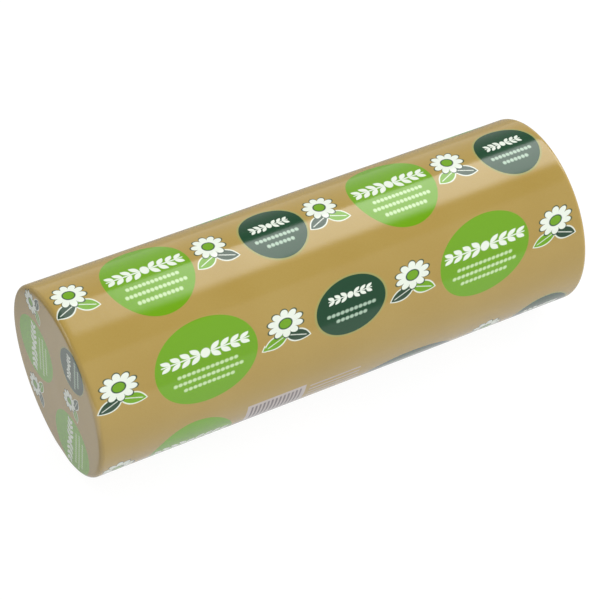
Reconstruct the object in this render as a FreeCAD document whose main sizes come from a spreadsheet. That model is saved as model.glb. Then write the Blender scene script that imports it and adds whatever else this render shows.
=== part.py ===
import FreeCAD, Part
import Sketcher
import math
import os

# A 1 kg roll of butter, wrapped all round in printed film and lying on its side.
#
# Frame: +X along the roll, -Y the front, +Z up. The origin is the middle of the
# flat spot that the roll rests on.
#
# The roll is one shut piece: a round bar whose two rims are rounded over where
# the film is drawn down onto the end faces, with a narrow flat along its
# underside where soft butter has settled. The film's free edge laps over itself
# in one strip along the roll, low on the back.

V = FreeCAD.Vector

doc = FreeCAD.newDocument("ButterRollPack")

# ---------------------------------------------------------------- sizes, in mm and degrees
SIZES = [
    ("roll_length", "222.0", "over the two end faces"),
    ("roll_radius", "40.0", "round part of the section"),
    ("rim_radius", "2.0", "rounding where the side turns into an end face"),
    ("flat_width", "12.0", "settled flat along the underside"),
    ("lap_low", "-64.0", "lap strip's lower edge, degrees below the back horizon"),
    ("lap_high", "-46.0", "lap strip's upper edge, degrees below the back horizon"),
    ("lap_proud", "0.2", "how far the second layer of film stands out"),
    ("lap_root", "1.0", "how far the strip's body reaches into the roll"),
    ("lap_end_gap", "0.6", "strip stops this far short of each rim rounding"),
]
sheet = doc.addObject("Spreadsheet::Sheet", "Sizes")
for line, (alias, value, note) in enumerate(SIZES, start=1):
    sheet.set("A%d" % line, alias)
    sheet.set("B%d" % line, value)
    sheet.set("C%d" % line, note)
    sheet.setAlias("B%d" % line, alias)
doc.recompute()

R = float(sheet.get("roll_radius"))
FLAT = float(sheet.get("flat_width"))
AXIS_HEIGHT = "sqrt(Sizes.roll_radius * Sizes.roll_radius - Sizes.flat_width * Sizes.flat_width / 4)"

# ---------------------------------------------------------------- the body
body = doc.addObject("PartDesign::Body", "ButterRoll")
body.Label = "butter_roll"


def origin_plane(owner, role):
    for feature in owner.Origin.OriginFeatures:
        if feature.Role == role:
            return feature
    raise RuntimeError("no origin plane " + role)


def new_sketch(owner, name):
    sketch = owner.newObject("Sketcher::SketchObject", name)
    sketch.AttachmentSupport = [(origin_plane(owner, "YZ_Plane"), "")]
    sketch.MapMode = "FlatFace"
    return sketch


def named(sketch, constraint, name, expression):
    number = sketch.addConstraint(constraint)
    sketch.renameConstraint(number, name)
    sketch.setExpression("Constraints." + name, expression)
    return number


# Section across the roll: a circle cut by one short chord, which is the flat.
section = new_sketch(body, "RollSection")
height = math.sqrt(R * R - FLAT * FLAT / 4)
start = math.atan2(-height, FLAT / 2)
end = math.atan2(-height, -FLAT / 2) + 2 * math.pi
arc = section.addGeometry(
    Part.ArcOfCircle(Part.Circle(V(0, height, 0), V(0, 0, 1), R), start, end), False
)
chord = section.addGeometry(
    Part.LineSegment(V(-FLAT / 2, 0, 0), V(FLAT / 2, 0, 0)), False
)
section.addConstraint(Sketcher.Constraint("Coincident", arc, 2, chord, 1))
section.addConstraint(Sketcher.Constraint("Coincident", arc, 1, chord, 2))
section.addConstraint(Sketcher.Constraint("PointOnObject", arc, 3, -2))
section.addConstraint(Sketcher.Constraint("PointOnObject", chord, 1, -1))
section.addConstraint(Sketcher.Constraint("PointOnObject", chord, 2, -1))
named(section, Sketcher.Constraint("Radius", arc, R), "radius", "Sizes.roll_radius")
named(
    section,
    Sketcher.Constraint("DistanceX", chord, 1, chord, 2, FLAT),
    "flat",
    "Sizes.flat_width",
)

roll = body.newObject("PartDesign::Pad", "RollPad")
roll.Profile = section
roll.SideType = "Symmetric"
roll.setExpression("Length", "Sizes.roll_length")
doc.recompute()

# Rounded rims, all the way round both end faces.
half = float(sheet.get("roll_length")) / 2
rim_edges = []
for index, edge in enumerate(roll.Shape.Edges, start=1):
    xs = [point.X if hasattr(point, "X") else point.x for point in (v.Point for v in edge.Vertexes)]
    if xs and all(abs(abs(x) - half) < 1e-6 for x in xs) and (max(xs) - min(xs)) < 1e-6:
        rim_edges.append("Edge%d" % index)
rims = body.newObject("PartDesign::Fillet", "RimRounding")
rims.Base = (roll, rim_edges)
rims.setExpression("Radius", "Sizes.rim_radius")
doc.recompute()
if not rims.Shape.Volume < roll.Shape.Volume:
    raise RuntimeError("the rim rounding took nothing off")

# The film's lap: a strip of the second layer, low on the back.
lap_section = new_sketch(body, "LapSection")
low = math.radians(float(sheet.get("lap_low")))
high = math.radians(float(sheet.get("lap_high")))
outer_r = R + float(sheet.get("lap_proud"))
inner_r = R - float(sheet.get("lap_root"))


def at(radius, angle):
    return V(radius * math.cos(angle), height + radius * math.sin(angle), 0)


outer = lap_section.addGeometry(
    Part.ArcOfCircle(Part.Circle(V(0, height, 0), V(0, 0, 1), outer_r), low, high), False
)
inner = lap_section.addGeometry(
    Part.ArcOfCircle(Part.Circle(V(0, height, 0), V(0, 0, 1), inner_r), low, high), False
)
low_side = lap_section.addGeometry(
    Part.LineSegment(at(inner_r, low), at(outer_r, low)), False
)
high_side = lap_section.addGeometry(
    Part.LineSegment(at(inner_r, high), at(outer_r, high)), False
)
for first, first_point, second, second_point in (
    (low_side, 1, inner, 1),
    (low_side, 2, outer, 1),
    (high_side, 1, inner, 2),
    (high_side, 2, outer, 2),
    (inner, 3, outer, 3),
):
    lap_section.addConstraint(
        Sketcher.Constraint("Coincident", first, first_point, second, second_point)
    )
lap_section.addConstraint(Sketcher.Constraint("PointOnObject", outer, 3, -2))
lap_section.addConstraint(Sketcher.Constraint("PointOnObject", outer, 3, low_side))
lap_section.addConstraint(Sketcher.Constraint("PointOnObject", outer, 3, high_side))
named(
    lap_section,
    Sketcher.Constraint("DistanceY", -1, 1, outer, 3, height),
    "axis_height",
    AXIS_HEIGHT,
)
named(
    lap_section,
    Sketcher.Constraint("Radius", outer, outer_r),
    "outer_radius",
    "Sizes.roll_radius + Sizes.lap_proud",
)
named(
    lap_section,
    Sketcher.Constraint("Radius", inner, inner_r),
    "inner_radius",
    "Sizes.roll_radius - Sizes.lap_root",
)
named(lap_section, Sketcher.Constraint("Angle", low_side, low), "low_edge", "Sizes.lap_low * 1 deg")
named(lap_section, Sketcher.Constraint("Angle", high_side, high), "high_edge", "Sizes.lap_high * 1 deg")

lap = body.newObject("PartDesign::Pad", "LapStrip")
lap.Profile = lap_section
lap.SideType = "Symmetric"
lap.setExpression(
    "Length", "Sizes.roll_length - 2 * Sizes.rim_radius - 2 * Sizes.lap_end_gap"
)
doc.recompute()
body.Tip = lap
doc.recompute()
if not lap.Shape.Volume > rims.Shape.Volume:
    raise RuntimeError("the lap strip added nothing")

# ---------------------------------------------------------------- checks, then the file
for thing in doc.Objects:
    if "Invalid" in thing.State or "Error" in thing.State:
        raise RuntimeError("%s is %s" % (thing.Name, thing.State))

for sketch in (section, lap_section):
    if not sketch.FullyConstrained:
        raise RuntimeError(sketch.Name + " is not fully constrained")

os.makedirs("parts", exist_ok=True)
for piece in (body,):
    shape = piece.Shape
    if shape.isNull() or not shape.isValid() or len(shape.Solids) != 1:
        raise RuntimeError(piece.Label + " is not one valid solid")
    box = shape.optimalBoundingBox(False)
    print(
        "%s: x %.3f..%.3f  y %.3f..%.3f  z %.3f..%.3f mm, %.1f cm3"
        % (piece.Label, box.XMin, box.XMax, box.YMin, box.YMax, box.ZMin, box.ZMax, shape.Volume / 1000)
    )
    shape.exportStep(os.path.join("parts", piece.Label + ".step"))
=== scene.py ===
import math
import random

import bpy
import numpy as np
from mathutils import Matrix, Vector


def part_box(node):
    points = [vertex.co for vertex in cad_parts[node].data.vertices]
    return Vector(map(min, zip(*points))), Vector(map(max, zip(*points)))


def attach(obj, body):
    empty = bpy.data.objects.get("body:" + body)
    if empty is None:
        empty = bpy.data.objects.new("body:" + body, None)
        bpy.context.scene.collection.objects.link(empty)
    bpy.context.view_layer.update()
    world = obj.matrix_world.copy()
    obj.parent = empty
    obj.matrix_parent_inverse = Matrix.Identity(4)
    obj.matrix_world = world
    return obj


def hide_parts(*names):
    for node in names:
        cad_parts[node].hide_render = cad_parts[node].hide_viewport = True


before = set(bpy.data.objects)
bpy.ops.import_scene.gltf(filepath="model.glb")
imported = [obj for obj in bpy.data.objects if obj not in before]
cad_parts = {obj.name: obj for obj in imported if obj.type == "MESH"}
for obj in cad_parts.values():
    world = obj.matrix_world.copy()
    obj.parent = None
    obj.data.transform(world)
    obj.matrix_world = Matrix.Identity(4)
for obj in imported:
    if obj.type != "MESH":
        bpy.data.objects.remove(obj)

SCENE = bpy.context.scene


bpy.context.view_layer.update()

# ------------------------------------------------------------------ sizes
# Metres in the file, millimetres in the sums below.
low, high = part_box("butter_roll")
LENGTH = (high.x - low.x) * 1000.0
RADIUS = (high.y - low.y) * 500.0
HEIGHT = high.z * 1000.0
AXIS_Z = HEIGHT - RADIUS
RIM = 2.0
LAP_TOP, LAP_FOOT, LAP_STEP = 224.0, 206.0, 0.2  # the film's lap, low on the back

# Angles round the roll run from the top (0) over the front (90) to the underside (180).


# ------------------------------------------------------------------ the roll's film, as one closed mesh
def waves(seed, count, lengths, turns):
    """A sum of long shallow waves that closes on itself round the roll."""
    rng = random.Random(seed)
    terms = [
        (
            rng.choice(turns),
            2.0 * math.pi / rng.uniform(*lengths),
            rng.uniform(0.0, 2.0 * math.pi),
            rng.uniform(0.6, 1.0),
        )
        for _ in range(count)
    ]
    total = sum(t[3] for t in terms)

    def value(x, phi):
        out = 0.0
        for turn, k, phase, amount in terms:
            out = out + amount * np.sin(turn * np.radians(phi) + k * x + phase)
        return out / total

    return value


def smooth(value, start, end):
    t = np.clip((value - start) / (end - start), 0.0, 1.0)
    return t * t * (3.0 - 2.0 * t)


def end_lean(y):
    """The near end isn't quite square: how far in its plane sits, in mm, at each place across."""
    front = np.minimum(y, 0.0) / RADIUS
    return 0.6 * (1.0 - y / RADIUS) + 0.4 * front * front


def film_mesh():
    columns = 320
    slack = waves(7, 9, (34.0, 95.0), (-3, -2, -1, 1, 2, 3, 4))
    fine = waves(21, 12, (9.0, 22.0), (-9, -7, -5, 4, 6, 8))
    ends = waves(33, 8, (16.0, 40.0), (-4, -3, -2, 2, 3, 5))

    # Stations along the profile from the middle of one end face to the middle of the other:
    # place along X, how far in from the outer section, and the share of the way to the axis.
    stations = []
    disc = [0.0, 0.04, 0.09, 0.15, 0.22, 0.29, 0.36, 0.43, 0.50, 0.57, 0.64, 0.71, 0.78, 0.85, 0.91, 0.96]
    for share in disc:
        stations.append((-LENGTH / 2, RIM, share))
    bends = 9
    for i in range(bends + 1):
        a = math.radians(90.0 - 90.0 * i / bends)
        stations.append((-LENGTH / 2 + RIM - RIM * math.sin(a), RIM * (1 - math.cos(a)), 1.0))
    rings = 118
    straight = LENGTH - 2 * RIM
    for i in range(1, rings):
        stations.append((-straight / 2 + straight * i / rings, 0.0, 1.0))
    for i in range(bends + 1):
        a = math.radians(90.0 * i / bends)
        stations.append((LENGTH / 2 - RIM + RIM * math.sin(a), RIM * (1 - math.cos(a)), 1.0))
    for share in reversed(disc):
        stations.append((LENGTH / 2, RIM, share))

    phi = LAP_TOP - 360.0 * np.arange(columns + 1) / columns
    vertices, grid = [], []
    for x, inset, share in stations:
        if share == 0.0:
            index = len(vertices)
            dish = 0.22
            lean = float(end_lean(0.0)) if x < 0 else 0.0
            vertices.append((math.copysign(abs(x) - dish, x) + lean, 0.0, AXIS_Z))
            grid.append([index] * (columns + 1))
            continue
        along = smooth(LENGTH / 2 - RIM - abs(x), 0.5, 4.0)
        dent = 0.035 * (1.0 + slack(x, phi)) + 0.005 * (1.0 + fine(x, phi))
        dent = dent * smooth(LENGTH / 2 - abs(x), 0.0, 14.0) + 0.012 * (1 + ends(x, phi))
        lap = LAP_STEP * smooth(phi, LAP_FOOT - 2.5, LAP_FOOT + 2.5) * along
        lap = lap * (phi > LAP_FOOT - 3.0)
        radius = RADIUS - inset - dent + lap
        y = -radius * np.sin(np.radians(phi))
        z = AXIS_Z + radius * np.cos(np.radians(phi))
        z = np.maximum(z, inset)
        sink = 0.0
        if share < 1.0:
            y = y * share
            z = AXIS_Z + (z - AXIS_Z) * share
            sink = 0.22 * (1 - share**2) + 0.05 * (1 - share) * share * 4 * (1 + ends(40.0 * share, phi))
        xs = np.full(columns + 1, x) - math.copysign(1.0, x) * sink
        xs = xs + end_lean(y) * smooth(-x, 60.0, 104.0)
        joined = along == 0.0
        row = []
        for i in range(columns + 1):
            if i == columns and joined:
                row.append(row[0])
                continue
            row.append(len(vertices))
            vertices.append((float(xs[i]), float(y[i]), float(z[i])))
        grid.append(row)

    # Where the lap has faded out, the two sides of its edge are the same point.
    faces, maps = [], []
    size = 304.5  # mm across the whole map
    ring_round = 2 * math.pi * RADIUS
    runs = [0.0]
    for (x0, i0, s0), (x1, i1, s1) in zip(stations, stations[1:]):
        runs.append(runs[-1] + (math.hypot(x1 - x0, i1 - i0) if s0 == s1 == 1.0 else 0.0))

    def flat_place(j, i):
        return ((1.0 + ring_round * (1 - i / columns)) / size, (1.0 + runs[j]) / size)

    def disc_place(j, i, side):
        share = stations[j][2]
        r = (RADIUS - RIM) * share
        a = math.radians(float(phi[i]))
        centre_u = 39.0 if side < 0 else 118.0
        centre_v = size - 39.0
        u = centre_u + side * r * math.sin(a)
        return (u / size, (centre_v + r * math.cos(a)) / size)

    count = len(stations)
    for j in range(count - 1):
        on_disc = stations[j][2] < 1.0 or stations[j + 1][2] < 1.0
        side = -1 if stations[j][0] < 0 else 1
        for i in range(columns):
            corners = [(j, i), (j + 1, i), (j + 1, i + 1), (j, i + 1)]
            ids, uv, used = [], [], set()
            for cj, ci in corners:
                v = grid[cj][ci]
                if v in used:
                    continue
                used.add(v)
                ids.append(v)
                uv.append(disc_place(cj, ci, side) if on_disc else flat_place(cj, ci))
            if len(ids) >= 3:
                faces.append(ids)
                maps.append(uv)
        # the riser between the lap's free edge and the layer under it
        a, b, c, d = grid[j][columns], grid[j + 1][columns], grid[j + 1][0], grid[j][0]
        ids = []
        for v in (a, b, c, d):
            if v not in ids:
                ids.append(v)
        if len(ids) >= 3 and stations[j][2] == 1.0 and stations[j + 1][2] == 1.0:
            faces.append(ids)
            maps.append([flat_place(j, 0)] * len(ids))

    mesh = bpy.data.meshes.new("printed_film")
    mesh.from_pydata([(x / 1000, y / 1000, z / 1000) for x, y, z in vertices], [], faces)
    layer = mesh.uv_layers.new(name="OFBake")
    flat = [c for face in maps for point in face for c in point]
    layer.data.foreach_set("uv", flat)
    mesh.polygons.foreach_set("use_smooth", [True] * len(mesh.polygons))
    sharp = set()
    for j in range(count - 1):
        if grid[j][0] != grid[j][columns] or grid[j + 1][0] != grid[j + 1][columns]:
            sharp.add(tuple(sorted((grid[j][0], grid[j + 1][0]))))
            sharp.add(tuple(sorted((grid[j][columns], grid[j + 1][columns]))))
    for edge in mesh.edges:
        if tuple(sorted(edge.vertices)) in sharp:
            edge.use_edge_sharp = True
    mesh.validate()
    mesh.update()
    piece = bpy.data.objects.new("printed_film", mesh)
    SCENE.collection.objects.link(piece)
    return piece


roll = film_mesh()
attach(roll, "root")
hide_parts("butter_roll")


# ------------------------------------------------------------------ sums written as shader nodes
class Graph:
    def __init__(self, tree):
        self.tree = tree
        self.count = 0

    def node(self, kind):
        node = self.tree.nodes.new(kind)
        node.location = (200 * (self.count % 40), -180 * (self.count // 40))
        self.count += 1
        return node

    def feed(self, socket, value):
        if isinstance(value, Num):
            self.tree.links.new(value.socket, socket)
        elif isinstance(value, (tuple, list)):
            socket.default_value = tuple(value) if len(value) == len(socket.default_value) else (*value, 1.0)
        else:
            socket.default_value = float(value)

    def sum(self, operation, *values):
        node = self.node("ShaderNodeMath")
        node.operation = operation
        for socket, value in zip(node.inputs, values):
            self.feed(socket, value)
        return Num(self, node.outputs[0])

    def mix(self, a, b, share):
        """Colour a turning into colour b as share goes from 0 to 1."""
        node = self.node("ShaderNodeMix")
        node.data_type = "RGBA"
        node.clamp_factor = True
        self.feed(node.inputs[0], share)
        self.feed(node.inputs[6], a)
        self.feed(node.inputs[7], b)
        return Num(self, node.outputs[2])

    def noise(self, vector, scale, detail=2.0, rough=0.5):
        node = self.node("ShaderNodeTexNoise")
        node.noise_dimensions = "3D"
        self.tree.links.new(vector, node.inputs["Vector"])
        node.inputs["Scale"].default_value = scale
        node.inputs["Detail"].default_value = detail
        node.inputs["Roughness"].default_value = rough
        return Num(self, node.outputs["Fac"])


class Num:
    def __init__(self, graph, socket):
        self.graph, self.socket = graph, socket

    def __add__(self, o):
        return self.graph.sum("ADD", self, o)

    __radd__ = __add__

    def __sub__(self, o):
        return self.graph.sum("SUBTRACT", self, o)

    def __rsub__(self, o):
        return self.graph.sum("SUBTRACT", o, self)

    def __mul__(self, o):
        return self.graph.sum("MULTIPLY", self, o)

    __rmul__ = __mul__

    def __truediv__(self, o):
        return self.graph.sum("DIVIDE", self, o)

    def __neg__(self):
        return self.graph.sum("MULTIPLY", self, -1.0)

    def abs(self):
        return self.graph.sum("ABSOLUTE", self)

    def sqrt(self):
        return self.graph.sum("SQRT", self)

    def wrap(self, period):
        """Folds into 0..period."""
        return self.graph.sum("FLOORED_MODULO", self, period)

    def above(self, edge):
        return self.graph.sum("GREATER_THAN", self, edge)

    def below(self, edge):
        return self.graph.sum("LESS_THAN", self, edge)

    def least(self, o):
        return self.graph.sum("MINIMUM", self, o)

    def most(self, o):
        return self.graph.sum("MAXIMUM", self, o)


def choose(no, yes, share):
    """no where share is 0, yes where it is 1."""
    if isinstance(no, (int, float)) and isinstance(yes, (int, float)):
        return share * (yes - no) + no
    return no + share * (yes - no)


def inside(distance, soft=0.12):
    """1 where the signed distance in mm is below 0, with a print-sharp edge."""
    half = distance * (-0.5 / soft) + 0.5
    return half.most(0.0).least(1.0)


def oval(x, y, a, b):
    reach = ((x * (1 / a)) * (x * (1 / a)) + (y * (1 / b)) * (y * (1 / b))).sqrt()
    return (reach - 1.0) * min(a, b)


def leaf(x, y, a, b):
    """A leaf with two points, a long and b wide each way from its middle."""
    t = x * (1 / a)
    return y.abs() - (1.0 - t * t) * b


def turned(x, y, degrees):
    c, s = math.cos(math.radians(degrees)), math.sin(math.radians(degrees))
    return x * c + y * s, y * c - x * s


# ------------------------------------------------------------------ colours (linear)
GOLD = (0.430, 0.300, 0.080)
GOLD_DEEP = (0.405, 0.274, 0.064)
LIGHT = (0.156, 0.370, 0.006)
LIGHT_DEEPENED_NEAR_END = (0.178, 0.435, 0.004)  # the same pale green ink, painted deeper on the near end to offset the pale reflection that washes that end
DARK = (0.002, 0.053, 0.017)
WHITE = (0.80, 0.86, 0.76)
PALE = (0.56, 0.74, 0.40)
PALE_ON_DARK = (0.40, 0.55, 0.42)
RING = (0.30, 0.36, 0.12)
INK = (0.020, 0.060, 0.030)
PANEL = (0.54, 0.48, 0.45)
STRIPE = (0.16, 0.13, 0.14)


def film_material():
    material = bpy.data.materials.new("printed_gold_film")
    material.use_nodes = True
    tree = material.node_tree
    tree.nodes.clear()
    g = Graph(tree)
    out = g.node("ShaderNodeOutputMaterial")
    shader = g.node("ShaderNodeBsdfPrincipled")
    tree.links.new(shader.outputs[0], out.inputs[0])

    where = g.node("ShaderNodeTexCoord")
    place = where.outputs["Object"]
    split = g.node("ShaderNodeSeparateXYZ")
    tree.links.new(place, split.inputs[0])
    x = Num(g, split.outputs[0]) * 1000.0
    y = Num(g, split.outputs[1]) * 1000.0
    z = Num(g, split.outputs[2]) * 1000.0 - AXIS_Z

    # Where an end face begins, with the lean of the near end taken off.
    forward = y.least(0.0) * (1 / RADIUS)
    lean = ((1.0 - y * (1 / RADIUS)) * 0.6 + forward * forward * 0.4) * x.below(0.0)
    on_end = (x - lean).abs().above(LENGTH / 2 - 0.293 * RIM)

    # Angle round the roll, from just past the lap's edge (-135.7) to it (224.3).
    start = LAP_TOP - 359.7
    phi = g.sum("ARCTAN2", -y, z) * (180.0 / math.pi)
    phi = (phi - start).wrap(360.0) + start

    # ---- which row of the print, and where in it
    # (first angle, middle, shift along the roll, stretch along, stretch round, small-motif drop, tall)
    rows = [
        (start, -116.0, 14.0, 1.0, 1.0, 0.6, 0.0),
        (-84.0, -57.7, -27.0, 1.06, 0.80, -0.3, 1.0),
        (-32.0, 1.3, -69.1, 1.0, 1.0, 0.6, 0.0),
        (35.0, 60.75, -60.7, 1.155, 0.785, -0.3, 1.0),
        (92.0, 127.4, -69.0, 1.0, 1.0, 0.6, 0.0),
        (160.0, 186.0, -20.0, 1.06, 0.80, -0.3, 1.0),
    ]
    steps = [phi.above(row[0]) for row in rows[1:]]

    def by_row(column):
        value = rows[0][column]
        for step, before, after in zip(steps, rows, rows[1:]):
            change = after[column] - before[column]
            if abs(change) > 1e-9:
                value = step * change + value
        return value

    middle, shift, wide, tall, drop, low_rise = (by_row(c) for c in (1, 2, 3, 4, 5, 6))
    front = steps[2] - steps[3]  # the fourth row runs a little askew, and leans more towards +X
    per_degree = RADIUS * math.pi / 180.0
    side_q = (phi - middle + front * x * 0.015) * per_degree / tall
    side_p = (x - shift) / wide + side_q * front * (x * 0.00098 + 0.123)

    # ---- the end faces: two columns that read upward
    outward = g.sum("SIGN", x)
    across = -y * outward
    second = (across - 1.5 + z * 0.13).below(0.0)
    tilt = z * choose(-0.11, -0.155, second)
    end_q = (choose(17.8, -15.0, second) + tilt - across) * (1 / 0.77)
    end_p = (z + choose(-4.2, 23.0, second)) * (1 / 0.825)
    flat_end = on_end * inside((y * y + z * z).sqrt() - 38.7, 0.3) * z.above(-26.0)

    p = choose(side_p, end_p, on_end)
    q = choose(side_q, end_q, on_end)
    drop = choose(drop, 0.0, on_end)
    low_rise = low_rise * (1.0 - on_end)

    # ---- one repeat: pale oval, motif, dark oval, motif
    repeat = 108.5
    near_pale = front * x.below(-37.0)
    pale_shift = near_pale * 0.6 + front * x.above(41.5) * 0.8
    signed = (p + pale_shift + repeat / 2).wrap(repeat) - repeat / 2
    a = signed.abs()
    b = repeat / 2 - a
    aside = (1.9 - front * 1.5 + front * x.below(-80.0) * 1.6) * (1.0 - on_end)
    t = a - 29.6 + g.sum("SIGN", signed) * aside
    q_low = q - drop

    # The plain label block takes the place of part of the fifth row.
    in_label = phi.above(92.0) * phi.below(160.0) * x.above(-50.0) * x.below(57.0) * (1.0 - on_end)
    open_print = 1.0 - in_label

    grown = 1.0 - near_pale * 0.042
    light = inside(oval(a * grown, q * grown, 18.1, 20.1)) * open_print
    shrunk = on_end * 0.07 + 1.0
    dark_reach = oval(b * shrunk, q_low * shrunk, 13.4, 14.1)
    kept = (x.above(-105.5) * x.below(108.3)).most(flat_end) * open_print * (1.0 - on_end * (1.0 - flat_end))
    dark = inside(dark_reach) * kept
    ring = inside(dark_reach - 0.70, 0.30) * kept * 0.65

    # ---- a leaf garland over beaded lines, in both ovals
    on_dark = a.above(40.6)
    h = choose(a, b, on_dark)
    size = choose(1.0, 1.5, on_dark)
    gh = h * size
    gv = (choose(q + 2.5, q_low + 3.5, on_dark) + low_rise * 1.7) * size
    thin = 1.0 - gh * gh * (0.30 / (16.3 * 16.3))
    gv = gv / thin
    cell = (gh - 1.9).wrap(3.6)
    lx, ly = turned(cell - 1.80, gv.abs() - 1.95, 46.0)
    leaves = inside(leaf(lx, ly, 2.40, 1.12), 0.16)
    stem = inside(gv.abs() - 0.36, 0.16)
    span = inside(gh - choose(16.2, 12.6, on_dark), 0.2) * gh.above(1.9)
    bud = inside(oval(gh, gv, 1.75, 2.3), 0.16)
    garland = ((leaves.most(stem)) * span).most(bud)

    def beads(level, half_width):
        pitch, half_height = 1.75, 0.86
        along = (h + pitch / 2).wrap(pitch) - pitch / 2
        over = choose(q, q_low, on_dark) + low_rise * 1.2 - level
        return inside(oval(along, over, pitch * 0.46, half_height), 0.25) * h.below(half_width)

    lines = beads(choose(4.5, 3.3, on_dark), choose(11.37, 9.62, on_dark)).most(
        beads(choose(8.2, 6.8, on_dark), choose(13.12, 6.12, on_dark))
    ).most(beads(11.9, 9.62) * (1.0 - on_dark))

    # ---- a daisy with two leaves in the small places between
    scale = 1 / 1.1
    ts, qs = t * scale, (q_low + 1.9 - front * 0.6) * scale
    rise = qs + 1.7
    reach = (ts * ts + rise * rise).sqrt()
    angle = g.sum("ARCTAN2", rise, ts)
    lobes = g.sum("ABSOLUTE", g.sum("SINE", angle * 5.0))
    petal_edge = lobes.sqrt() * 2.6 + 3.5
    petals_far = reach - petal_edge
    petals = inside(petals_far, 0.14)
    outline = inside(petals_far - 0.5, 0.2)
    heart = inside(reach - 2.0, 0.14)
    heart_ring = inside(reach - 2.45, 0.14)
    la, lb = turned(ts.abs() - 3.8, qs - 5.2, 24.0)
    leaf_far = leaf(la, lb, 4.5, 2.3)
    leaf_in = inside(leaf_far, 0.14)
    leaf_rim = inside(leaf_far - 0.5, 0.2)
    leaf_vein = inside(lb.abs() - 0.16, 0.14) * inside(la.abs() - 3.2, 0.3)
    left_leaf = t.below(0.0)
    label_row = phi.above(92.0) * phi.below(160.0) * (1.0 - on_end)
    small = (1.0 - label_row * x.above(-55.0) * x.below(55.5)) * t.abs().below(9.8) * (x.above(-109.5) * x.below(107.3)).most(on_end)

    # ---- label block: a striped panel, plain rules and a wide dark oval
    s_mm = (phi - 104.6) * per_degree
    panel_far = ((x + 33.0).abs() - 13.0).most((s_mm - 9.0).abs() - 9.0)
    panel = inside(panel_far, 0.15) * in_label
    stripe_far = ((x + 33.0 + 0.9).wrap(1.8) - 0.9).abs() - 0.48
    stripes = inside(stripe_far, 0.12) * inside(((x + 33.0).abs() - 11.2).most((s_mm - 9.0).abs() - 7.3), 0.15) * in_label
    rule_wave = (s_mm - 1.6).wrap(3.0)
    rules = inside((rule_wave - 0.6).abs() - 0.45, 0.15) * inside(((x + 6.5).abs() - 11.5).most((s_mm - 6.4).abs() - 5.6), 0.2) * in_label
    wide_far = oval(x - 30.0, (phi - 129.0) * per_degree, 21.0, 11.0)
    wide_dark = inside(wide_far) * in_label
    wide_rule = inside(((s_mm - 11.0).wrap(3.6) - 1.0).abs() - 0.45, 0.15) * inside(((x - 30.0).abs() - 12.5).most((s_mm - 17.0).abs() - 5.0), 0.2) * in_label

    # ---- gold ground, very slightly uneven
    cloud = g.noise(place, 28.0, 2.0, 0.5)
    grain = g.noise(place, 1500.0, 1.0, 0.5)
    colour = g.mix(GOLD_DEEP, GOLD, (cloud - 0.35) * 2.4 + (grain - 0.5) * 0.9 + 0.15)

    colour = g.mix(colour, RING, ring)
    colour = g.mix(colour, DARK, dark)
    # the near end takes a deeper copy of the pale green, painted there to offset its reflection; it is not a
    # different ink
    colour = g.mix(colour, g.mix(LIGHT, LIGHT_DEEPENED_NEAR_END, on_end * x.below(0.0)), light)
    colour = g.mix(colour, WHITE, garland * light.most(dark))
    colour = g.mix(colour, g.mix(PALE, PALE_ON_DARK, on_dark), lines * light.most(dark))

    colour = g.mix(colour, WHITE, leaf_rim * small)
    colour = g.mix(colour, g.mix(INK, LIGHT, left_leaf), leaf_in * small)
    colour = g.mix(colour, WHITE, leaf_vein * leaf_in * small)
    colour = g.mix(colour, INK, outline * small)
    colour = g.mix(colour, WHITE, petals * small)
    colour = g.mix(colour, INK, heart_ring * small)
    colour = g.mix(colour, LIGHT, heart * small)

    colour = g.mix(colour, PANEL, panel)
    colour = g.mix(colour, STRIPE, stripes)
    colour = g.mix(colour, PANEL, rules * 0.8)
    colour = g.mix(colour, DARK, wide_dark)
    colour = g.mix(colour, PALE_ON_DARK, wide_rule)
    tree.links.new(colour.socket, shader.inputs["Base Color"])

    # ---- gloss: a clear smooth film, handled a little
    haze = g.noise(place, 60.0, 2.0, 0.5)
    rough = haze * 0.06 + 0.10
    tree.links.new(rough.socket, shader.inputs["Roughness"])
    shader.inputs["IOR"].default_value = 1.5
    shader.inputs["Metallic"].default_value = 0.0

    bump = g.node("ShaderNodeBump")
    bump.inputs["Strength"].default_value = 0.25
    bump.inputs["Distance"].default_value = 0.00005
    peel = g.noise(place, 420.0, 2.0, 0.5)
    tree.links.new(peel.socket, bump.inputs["Height"])
    tree.links.new(bump.outputs[0], shader.inputs["Normal"])
    print("film nodes", g.count)
    return material


roll.data.materials.append(film_material())


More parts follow.
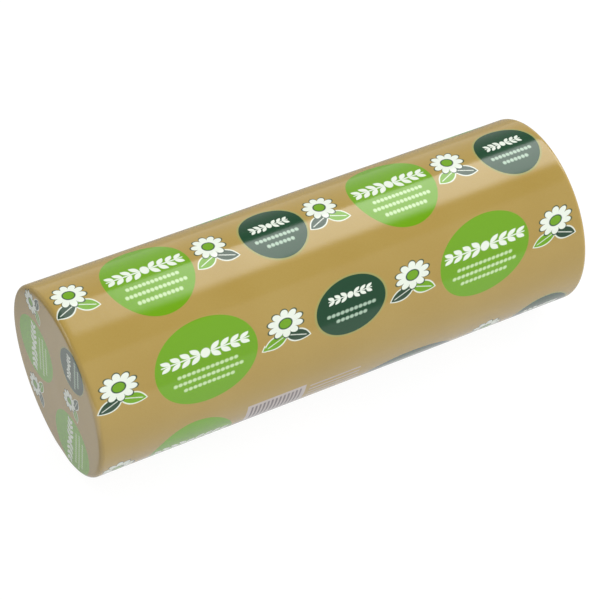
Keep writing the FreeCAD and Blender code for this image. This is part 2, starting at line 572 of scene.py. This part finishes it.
# ------------------------------------------------------------------ floor
def floor_material():
    """White paper: plain white to the camera, a lit sheet to the roll and to its reflections."""
    material = bpy.data.materials.new("pale_floor")
    material.use_nodes = True
    tree = material.node_tree
    tree.nodes.clear()
    g = Graph(tree)
    out = g.node("ShaderNodeOutputMaterial")
    shader = g.node("ShaderNodeBsdfPrincipled")
    tree.links.new(shader.outputs[0], out.inputs[0])
    path = g.node("ShaderNodeLightPath")
    seen = Num(g, path.outputs["Is Camera Ray"])
    glossy = Num(g, path.outputs["Is Glossy Ray"])
    where = g.node("ShaderNodeTexCoord")
    split = g.node("ShaderNodeSeparateXYZ")
    tree.links.new(where.outputs["Object"], split.inputs[0])
    x = Num(g, split.outputs[0])
    y = Num(g, split.outputs[1])

    def ramp(value, start, end):
        t = ((value - start) * (1 / (end - start))).most(0.0).least(1.0)
        return t * t * (3.0 - 2.0 * t)

    mirrored = 1.25 - ramp(y, -0.052, -0.025) * 0.45 - ramp(y, 0.06, 0.13) * 0.40
    mirrored = mirrored + ramp(x, -0.140, -0.185) * ramp(y, 0.03, 0.0) * 1.0
    albedo = choose(choose(0.42, 0.0, glossy), 0.11, seen)
    glow = choose(choose(0.0, mirrored, glossy), 0.935, seen)
    base = g.node("ShaderNodeCombineColor")
    for socket in base.inputs[:3]:
        tree.links.new(albedo.socket, socket)
    tree.links.new(base.outputs[0], shader.inputs["Base Color"])
    tree.links.new(glow.socket, shader.inputs["Emission Strength"])
    shader.inputs["Roughness"].default_value = 0.9
    shader.inputs["Specular IOR Level"].default_value = 0.0
    shader.inputs["Emission Color"].default_value = (1.0, 1.0, 1.0, 1.0)
    return material


floor_mesh = bpy.data.meshes.new("floor")
half = 30.0
floor_mesh.from_pydata(
    [(-half, -half, -0.0002), (half, -half, -0.0002), (half, half, -0.0002), (-half, half, -0.0002)],
    [],
    [(0, 1, 2, 3)],
)
floor = bpy.data.objects.new("floor", floor_mesh)
SCENE.collection.objects.link(floor)
floor.data.materials.append(floor_material())


# ------------------------------------------------------------------ light
def studio_world():
    world = bpy.data.worlds.new("studio")
    SCENE.world = world
    world.use_nodes = True
    tree = world.node_tree
    tree.nodes.clear()
    g = Graph(tree)
    out = g.node("ShaderNodeOutputWorld")
    background = g.node("ShaderNodeBackground")
    tree.links.new(background.outputs[0], out.inputs[0])
    coords = g.node("ShaderNodeTexCoord")
    split = g.node("ShaderNodeSeparateXYZ")
    tree.links.new(coords.outputs["Generated"], split.inputs[0])
    dx, dy, dz = (Num(g, split.outputs[i]) for i in range(3))
    path = g.node("ShaderNodeLightPath")
    seen = Num(g, path.outputs["Is Camera Ray"])
    glossy = Num(g, path.outputs["Is Glossy Ray"])

    def ramp(value, start, end):
        t = ((value - start) * (1 / (end - start))).most(0.0).least(1.0)
        return t * t * (3.0 - 2.0 * t)

    soft = ramp(dx, -0.8, 0.0) * 0.80 + 0.20
    soft = soft * (2.4 - dz * 1.4)
    # What the film mirrors: a pale room, a gap overhead, then a long softbox along the roll.
    slope = dy / dz.most(0.05)
    front = choose(0.66, 0.08, ramp(dz, 0.77, 0.83))
    behind = dz * -0.8 + 0.87
    softbox = ramp(slope, -0.12, 0.09) * (1.0 - ramp(slope, 0.765, 0.80))
    softbox = softbox * (ramp(dx, 0.20, 0.34) * 4.2 + ramp(dx, -0.45, -0.65) * 2.2)
    mirror = choose(front, behind, ramp(slope, -0.05, 0.05)) + softbox
    mirror = choose(mirror, 1.0, ramp(dx.abs(), 0.88, 0.97))  # plain white off both ends
    value = choose(soft, mirror, glossy)
    value = choose(value, 1.0, seen)
    background.inputs["Color"].default_value = (1.0, 1.0, 1.0, 1.0)
    tree.links.new(value.socket, background.inputs["Strength"])
    world.cycles.sampling_method = "NONE"


studio_world()


# ------------------------------------------------------------------ camera
data = bpy.data.cameras.new("camera")
camera = bpy.data.objects.new("camera", data)
SCENE.collection.objects.link(camera)
SCENE.camera = camera
data.sensor_width = 36.0
data.sensor_fit = "HORIZONTAL"
data.lens = 2195.0 / 600.0 * 36.0
data.clip_start = 0.01
data.clip_end = 200.0
azimuth, elevation, distance = math.radians(-28.64), math.radians(42.05), 0.8929
target = Vector((0.0, 0.0, AXIS_Z / 1000.0))
back = Vector(
    (
        math.sin(azimuth) * math.cos(elevation),
        -math.cos(azimuth) * math.cos(elevation),
        math.sin(elevation),
    )
)
camera.location = target + back * distance
camera.rotation_euler = back.to_track_quat("Z", "Y").to_euler()
data.shift_x = -4.28 / 600.0
data.shift_y = -8.11 / 600.0
data.dof.use_dof = False

SCENE.view_settings.view_transform = "Standard"
SCENE.view_settings.look = "None"
SCENE.view_settings.exposure = 0.0
SCENE.view_settings.gamma = 1.0
